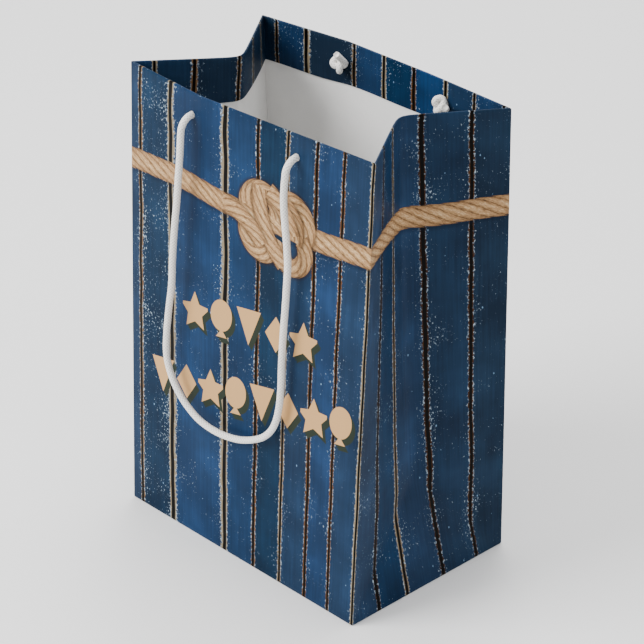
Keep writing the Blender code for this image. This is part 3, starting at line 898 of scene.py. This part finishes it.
def rope_group():
    tree = bpy.data.node_groups.new("laid_rope", "ShaderNodeTree")
    for name in ("Along", "Across"):
        tree.interface.new_socket(name, in_out="INPUT", socket_type="NodeSocketFloat")
    tree.interface.new_socket("Color", in_out="OUTPUT", socket_type="NodeSocketColor")
    tree.interface.new_socket("Mask", in_out="OUTPUT", socket_type="NodeSocketFloat")
    given = tree.nodes.new("NodeGroupInput").outputs
    side = add(tree, MATH, [given["Across"], ROPE_HALF_MM], operation="DIVIDE")
    inside = add(tree, "ShaderNodeClamp", [side, -1.0, 1.0])
    angle = add(tree, MATH, [inside], operation="ARCSINE")
    square = add(tree, MATH, [inside, inside], operation="MULTIPLY")
    roundness = add(tree, MATH, [1.0, square], operation="SUBTRACT")
    roundness = add(tree, MATH, [roundness, 0.5], operation="POWER")
    turns = add(tree, MATH, [given["Along"], ROPE_LAY_MM], operation="DIVIDE")
    phase = add(tree, MATH, [angle, ROPE_TWIST, turns], operation="MULTIPLY_ADD")
    part = add(tree, MATH, [phase], operation="FRACT")
    strand = add(tree, MATH, [part, math.pi], operation="MULTIPLY")
    strand = add(tree, MATH, [strand], operation="SINE")
    fat = add(tree, MATH, [strand, 0.5], operation="POWER")
    place = add(tree, "ShaderNodeCombineXYZ", [phase, given["Along"], given["Across"]])
    place = add(tree, VECTOR_MATH, [place, (7.5, 0.4, 0.4)], operation="MULTIPLY")
    fibre = add(tree, NOISE, {"Vector": place, "Scale": 1.0, "Detail": 4.0, "Roughness": 0.75})
    light = add(tree, MATH, [fat, roundness], operation="MULTIPLY")
    light = add(tree, MATH, [light, 0.50, -0.52], operation="MULTIPLY_ADD")
    light = add(tree, MATH, [fibre, 1.45, light], operation="MULTIPLY_ADD")
    ramp = add(tree, "ShaderNodeValToRGB", [light],
               stops=((0.12, "#3a2717"), (0.36, "#7f5f40"), (0.64, "#b08b62"), (0.95, "#dcc198")))
    reach = add(tree, MATH, [side], operation="ABSOLUTE")
    edge = add(tree, MATH, [fat, 0.17, 0.84], operation="MULTIPLY_ADD")
    left_over = add(tree, MATH, [edge, reach], operation="SUBTRACT")
    mask = add(tree, "ShaderNodeMapRange", [left_over, -0.02, 0.02])
    add(tree, "NodeGroupOutput", {"Color": ramp, "Mask": mask})
    return tree


rope = rope_group()


# %% The straight band of rope
REPEAT_MM = 300.0
BAND_LOW_MM = 205.0
BAND_RISE_MM = 20.0
BAND_HEIGHTS_MM = ((0, 217), (20, 218.5), (45, 220), (85, 217), (115, 218), (147, 218.5), (180, 220.5),
                   (206, 220), (240, 216), (260, 215), (281, 216), (300, 217))
motif_mm = add(tree, MATH, [along_mm, REPEAT_MM], operation="FLOORED_MODULO")
share = add(tree, MATH, [motif_mm, REPEAT_MM], operation="DIVIDE")
band_curve = add(tree, "ShaderNodeFloatCurve", {"Value": share})
points = band_curve.mapping.curves[0].points
for point, (spot, level) in zip(points, (BAND_HEIGHTS_MM[0], BAND_HEIGHTS_MM[-1])):
    point.location = (spot / REPEAT_MM, (level - BAND_LOW_MM) / BAND_RISE_MM)
for spot, level in BAND_HEIGHTS_MM[1:-1]:
    points.new(spot / REPEAT_MM, (level - BAND_LOW_MM) / BAND_RISE_MM)
band_curve.mapping.update()
band_level = add(tree, MATH, [band_curve, BAND_RISE_MM, BAND_LOW_MM], operation="MULTIPLY_ADD")
band_across = add(tree, MATH, [up_mm, band_level], operation="SUBTRACT")
band = add(tree, "ShaderNodeGroup", {"Along": motif_mm, "Across": band_across}, node_tree=rope)
shadow = add(tree, MATH, [band_across, 1.2], operation="ADD")
shadow = add(tree, MATH, [shadow], operation="ABSOLUTE")
shadow = add(tree, "ShaderNodeMapRange", {0: shadow, 1: 8.2, 2: 6.0, 4: 0.45})
colour = add(tree, MIX, {0: shadow, 6: colour, 7: linear("#050f1f")}, data_type="RGBA").outputs[2]
colour = add(tree, MIX, {0: band.outputs["Mask"], 6: colour, 7: band.outputs["Color"]},
             data_type="RGBA").outputs[2]

# %% [markdown]
# ## The printed knot
#
# A knot drawn flat is a few bends of the same rope laid over each other. Each bend is part of a circle:
# its angle round the circle is the distance along the rope, and its distance from the circle is the
# distance across. They are drawn in order, so that the later ones pass over the earlier ones.

# %% Bends of the knot
KNOT_MIDDLE_MM = (115.0, 217.0)
KNOT_NARROWING = 1.18
KNOT_BENDS = (
    ((-12.0, -9.0), 11.0, 140, 200),
    ((-11.5, 6.0), 11.0, -15, 200),
    ((9.0, 4.5), 13.0, -45, 150),
    ((10.0, -10.0), 10.5, 165, 240),
    ((1.0, 1.0), 13.0, -25, 95),
    ((30.0, 14.0), 43.0, 174, 60),
    ((-42.0, -36.0), 37.0, 34, 52),
    ((-22.0, -13.0), 35.0, 18, 45),
)
knot_middle = add(tree, "ShaderNodeCombineXYZ", [motif_mm, up_mm])
for middle, radius, start, sweep in KNOT_BENDS:
    centre = (KNOT_MIDDLE_MM[0] + middle[0], KNOT_MIDDLE_MM[1] + middle[1], 0.0)
    from_centre = add(tree, VECTOR_MATH, [knot_middle, centre], operation="SUBTRACT")
    parts = add(tree, "ShaderNodeSeparateXYZ", [from_centre])
    angle = add(tree, MATH, [parts.outputs[1], parts.outputs[0]], operation="ARCTAN2")
    angle = add(tree, MATH, [angle, math.radians(start)], operation="SUBTRACT")
    angle = add(tree, MATH, [angle, 2 * math.pi], operation="FLOORED_MODULO")
    within = add(tree, MATH, [angle, math.radians(sweep)], operation="LESS_THAN")
    distance = add(tree, VECTOR_MATH, [from_centre], operation="LENGTH")
    across_bend = add(tree, MATH, [distance.outputs["Value"], KNOT_NARROWING, -radius * KNOT_NARROWING],
                      operation="MULTIPLY_ADD")
    along_bend = add(tree, MATH, [angle, radius], operation="MULTIPLY")
    bend = add(tree, "ShaderNodeGroup", {"Along": along_bend, "Across": across_bend}, node_tree=rope)
    reach = add(tree, MATH, [across_bend], operation="ABSOLUTE")
    shade = add(tree, "ShaderNodeMapRange", {0: reach, 1: ROPE_HALF_MM * 1.35, 2: ROPE_HALF_MM, 4: 0.6})
    shade = add(tree, MATH, [shade, within], operation="MULTIPLY")
    colour = add(tree, MIX, {0: shade, 6: colour, 7: linear("#24160a")}, data_type="RGBA").outputs[2]
    mask = add(tree, MATH, [bend.outputs["Mask"], within], operation="MULTIPLY")
    colour = add(tree, MIX, {0: mask, 6: colour, 7: bend.outputs["Color"]}, data_type="RGBA").outputs[2]
print("knot of", len(KNOT_BENDS), "bends")

# %% [markdown]
# ## The printed party shapes
#
# Two rising rows of flat tan shapes stand below the rope, each with a dark block shadow: stars, balloons,
# pennants and diamonds. A row is one shape repeated: the distance along it, divided by the spacing, gives
# the shape's number and the place inside its own cell. A node group holds the four outlines and picks one
# by number. The shadow is the same row looked up again, a little up and to the left.


# %% The shape group
def shape_group():
    tree = bpy.data.node_groups.new("party_shapes", "ShaderNodeTree")
    for name in ("X", "Y", "Number"):
        tree.interface.new_socket(name, in_out="INPUT", socket_type="NodeSocketFloat")
    tree.interface.new_socket("Mask", in_out="OUTPUT", socket_type="NodeSocketFloat")
    given = tree.nodes.new("NodeGroupInput").outputs
    x = add(tree, MATH, [given["X"]], operation="ABSOLUTE")
    y = given["Y"]

    # A star: one of its ten equal slices, folded on itself, under a straight line from tip to notch
    angle = add(tree, MATH, [x, y], operation="ARCTAN2")
    angle = add(tree, MATH, [angle, math.pi / 5], operation="PINGPONG")
    both = add(tree, "ShaderNodeCombineXYZ", [x, y])
    reach = add(tree, VECTOR_MATH, [both], operation="LENGTH").outputs["Value"]
    tip_way = add(tree, MATH, [angle], operation="COSINE")
    notch_way = add(tree, MATH, [angle], operation="SINE")
    slope = add(tree, MATH, [notch_way, 2.05, tip_way], operation="MULTIPLY_ADD")
    star = add(tree, MATH, [reach, slope], operation="MULTIPLY")
    star = add(tree, MATH, [star, 1.05], operation="LESS_THAN")

    # A balloon: an oval with a small spreading neck
    higher = add(tree, MATH, [y, 0.18], operation="SUBTRACT")
    oval = add(tree, "ShaderNodeCombineXYZ", [x, higher])
    oval = add(tree, VECTOR_MATH, [oval, (1.5, 1.22, 1.0)], operation="MULTIPLY")
    oval = add(tree, VECTOR_MATH, [oval], operation="LENGTH").outputs["Value"]
    oval = add(tree, MATH, [oval, 1.0], operation="LESS_THAN")
    neck = add(tree, MATH, [y, -0.8, -0.42], operation="MULTIPLY_ADD")
    neck = add(tree, MATH, [neck, x], operation="GREATER_THAN")
    above = add(tree, MATH, [y, -0.95], operation="GREATER_THAN")
    neck = add(tree, MATH, [neck, above], operation="MULTIPLY")
    balloon = add(tree, MATH, [oval, neck], operation="MAXIMUM")

    # A pennant: a triangle hanging from its flat top
    sides = add(tree, MATH, [y, 0.42, 0.40], operation="MULTIPLY_ADD")
    pennant = add(tree, MATH, [sides, x], operation="GREATER_THAN")
    top = add(tree, MATH, [y, 0.88], operation="LESS_THAN")
    pennant = add(tree, MATH, [pennant, top], operation="MULTIPLY")

    # A diamond
    lean = add(tree, MATH, [y], operation="ABSOLUTE")
    lean = add(tree, MATH, [x, 1.35, lean], operation="MULTIPLY_ADD")
    diamond = add(tree, MATH, [lean, 0.92], operation="LESS_THAN")

    kind = add(tree, MATH, [given["Number"], 4.0], operation="FLOORED_MODULO")
    chosen = star
    for number, shape in ((1, balloon), (2, pennant), (3, diamond)):
        this_one = add(tree, MATH, [kind, float(number), 0.5], operation="COMPARE")
        chosen = add(tree, MIX, {0: this_one, 2: chosen, 3: shape}, data_type="FLOAT")
    add(tree, "NodeGroupOutput", {"Mask": chosen})
    return tree


shapes = shape_group()

# %% Lay out the two rows
ROWS = (
    {"start": 44.0, "count": 5, "spacing": 20.4, "level": 142.0, "slope": 0.15, "first": 0},
    {"start": 17.0, "count": 8, "spacing": 19.7, "level": 91.0, "slope": 0.18, "first": 2},
)
SHAPE_HALF_MM = 11.8
SHADOW_STEPS_MM = (0.9, 1.8, 2.7)


def row_mask(row, shift):
    """One row's mask, looked up a distance down and to the right of itself."""
    x = add(tree, MATH, [motif_mm, row["start"] + shift], operation="SUBTRACT")
    rise = add(tree, MATH, [x, -row["slope"], shift - row["level"]], operation="MULTIPLY_ADD")
    y = add(tree, MATH, [up_mm, rise], operation="ADD")
    y = add(tree, MATH, [y, SHAPE_HALF_MM], operation="DIVIDE")
    cell = add(tree, MATH, [x, row["spacing"]], operation="DIVIDE")
    number = add(tree, MATH, [cell], operation="FLOOR")
    part = add(tree, MATH, [cell], operation="FRACT")
    width = row["spacing"] / SHAPE_HALF_MM
    part = add(tree, MATH, [part, width, -width / 2], operation="MULTIPLY_ADD")
    kind = add(tree, MATH, [number, float(row["first"])], operation="ADD")
    made = add(tree, "ShaderNodeGroup", {"X": part, "Y": y, "Number": kind}, node_tree=shapes)
    middle = (row["count"] - 1) / 2
    inside = add(tree, MATH, [number, middle, middle + 0.1], operation="COMPARE")
    return add(tree, MATH, [made, inside], operation="MULTIPLY")


for row in ROWS:
    block = row_mask(row, SHADOW_STEPS_MM[0])
    for shift in SHADOW_STEPS_MM[1:]:
        block = add(tree, MATH, [block, row_mask(row, shift)], operation="MAXIMUM")
    colour = add(tree, MIX, {0: block, 6: colour, 7: linear("#262e24")}, data_type="RGBA").outputs[2]
    colour = add(tree, MIX, {0: row_mask(row, 0.0), 6: colour, 7: linear("#c49a68")},
                 data_type="RGBA").outputs[2]

# %% Coat the print
grain = add(tree, NOISE, {"Vector": sheet_mm, "Scale": 1.2, "Detail": 3.0})
bump = add(tree, "ShaderNodeBump", {"Strength": 0.18, "Distance": 0.00005, "Height": grain})
connect(shader, {"Base Color": colour, "Roughness": 0.46, "Specular IOR Level": 0.06, "Normal": bump})

# %% Make the sheet piece
raw_sheet = placed("raw_sheet", build_sheet())
for material in (print_paper, bare_paper):
    raw_sheet.data.materials.append(material)
thicken_and_punch(raw_sheet, PAPER, PANELS)
bag_sheet = finished("folded_paper_bag", raw_sheet)
bm = bmesh.new()
bm.from_mesh(bag_sheet.data)
layer = bm.loops.layers.uv["sheet"]
add_flap(bm, layer, -1, 0.00019)
add_flap(bm, layer, 1, 0.00002)
bm.to_mesh(bag_sheet.data)
bm.free()
bag_sheet.data.shade_smooth()
bag_sheet.data.set_sharp_from_angle(angle=math.radians(38))
print("sheet has", len(bag_sheet.data.polygons), "faces")

# %% [markdown]
# ## Grey card
#
# Two strips of grey card lie inside the hems and stop the cord from tearing the paper, and a board lies
# on the bottom. Recycled card is matte, with flecks of darker fibre.

# %% Card material
grey_card, tree, shader = new_material("recycled_grey_card")
place = add(tree, "ShaderNodeTexCoord").outputs["Object"]
fleck = add(tree, NOISE, {"Vector": place, "Scale": 900.0, "Detail": 5.0, "Roughness": 0.7})
tone = add(tree, "ShaderNodeValToRGB", [fleck], stops=((0.3, "#a9a49c"), (0.62, "#cfcac2")))
bump = add(tree, "ShaderNodeBump", {"Strength": 0.3, "Distance": 0.0001, "Height": fleck})
connect(shader, {"Base Color": tone, "Roughness": 0.9, "Normal": bump})

# %% Card strips in the hems
STRIP_INSET = 0.00042
STRIP_THICKNESS = 0.00035
STRIP_END = 0.008


def card_strip(side):
    """The strip inside one hem, following the panel, with the same punched holes."""
    start = 0.0 if side == "front" else PANEL_WIDTH + GUSSET_WIDTH
    along = start + np.arange(STRIP_END, PANEL_WIDTH - STRIP_END + 0.001, 0.004)
    heights = np.linspace(HEIGHT - HEM_DEPTH + 0.002, HEIGHT - 0.0024, 6)
    bm = bmesh.new()
    made = []
    for height in heights:
        whole = sheet_plan(columns, height, STRIP_INSET)
        whole = whole + outward_normals(whole) * unevenness(columns, height)[:, None]
        plan = np.stack([np.interp(along, columns, whole[:, i]) for i in (0, 1)], axis=1)
        made.append([bm.verts.new((*spot, height)) for spot in plan])
    for lower, upper in zip(made, made[1:]):
        for i in range(len(along) - 1):
            bm.faces.new((lower[i], lower[i + 1], upper[i + 1], upper[i]))
    source = placed(f"{side}_strip_raw", mesh_of(f"{side}_strip", bm))
    source.data.materials.append(grey_card)
    thicken_and_punch(source, STRIP_THICKNESS, [side])
    return finished(f"{side}_hem_card", source)


strips = {side: card_strip(side) for side in PANELS}
for cutter in (*punches["front"], *punches["back"]):
    bpy.data.objects.remove(cutter)
board = frame["nodes"]["bottom_board"]
board.data.materials.clear()
board.data.materials.append(grey_card)
print("card strips:", [len(strip.data.polygons) for strip in strips.values()])

# %% [markdown]
# ## Floor and light
#
# A plain pale floor and soft light from large panels, as in a small studio: the main one to the front
# left and above, weaker ones behind and overhead, a faint one to the right, and a bright surround.

# %% Floor
FLOOR_SIZE = 6.0
floor_white, tree, shader = new_material("pale_studio_floor")
place = add(tree, "ShaderNodeTexCoord").outputs["Object"]
speckle = add(tree, NOISE, {"Vector": place, "Scale": 3.0, "Detail": 1.0})
tone = add(tree, "ShaderNodeValToRGB", [speckle], stops=((0.0, "#fafafa"), (1.0, "#fdfdfd")))
connect(shader, {"Base Color": tone, "Roughness": 0.9})
bpy.ops.mesh.primitive_plane_add(size=FLOOR_SIZE, location=(0, 0, -0.0002))
floor = bpy.context.object
floor.name = "floor"
floor.data.materials.append(floor_white)

# %% Lights
world = bpy.data.worlds.new("surround")
world.use_nodes = True
bpy.context.scene.world = world
connect(world.node_tree.nodes["Background"], {"Color": (1.0, 1.0, 1.0, 1.0), "Strength": 0.78})


def soft_light(name, spot, size, power):
    """A square panel light that faces the bag's middle."""
    data = bpy.data.lights.new(name, "AREA")
    data.size = size
    data.energy = power
    lamp = placed(name, data)
    lamp.location = spot
    aim = Vector((0, 0, HEIGHT / 2)) - Vector(spot)
    lamp.rotation_mode = "QUATERNION"
    lamp.rotation_quaternion = aim.to_track_quat("-Z", "Y")


soft_light("main_panel", (-0.7, -1.3, 1.3), 1.0, 45.0)
soft_light("side_panel", (1.6, 0.1, 1.0), 1.2, 2.5)
soft_light("back_panel", (-1.2, 1.5, 1.1), 1.2, 14.0)
soft_light("top_panel", (-0.1, 0.35, 1.9), 0.9, 20.0)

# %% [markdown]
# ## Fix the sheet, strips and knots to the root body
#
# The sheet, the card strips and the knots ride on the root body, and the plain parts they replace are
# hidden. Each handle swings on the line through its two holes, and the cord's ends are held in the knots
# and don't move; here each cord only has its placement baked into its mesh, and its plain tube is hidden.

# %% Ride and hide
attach(bag_sheet, "root")
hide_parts("bag_body")
for side in PANELS:
    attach(strips[side], "root")
    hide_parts(f"{side}_top_card")
for name, knot in knots.items():
    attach(knot, "root")
    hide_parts(name)
for side, facts in handles.items():
    cord, middle, outwards = facts["cord"], facts["middle"], facts["outwards"]
    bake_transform(cord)
    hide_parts(f"{side}_handle_cord")
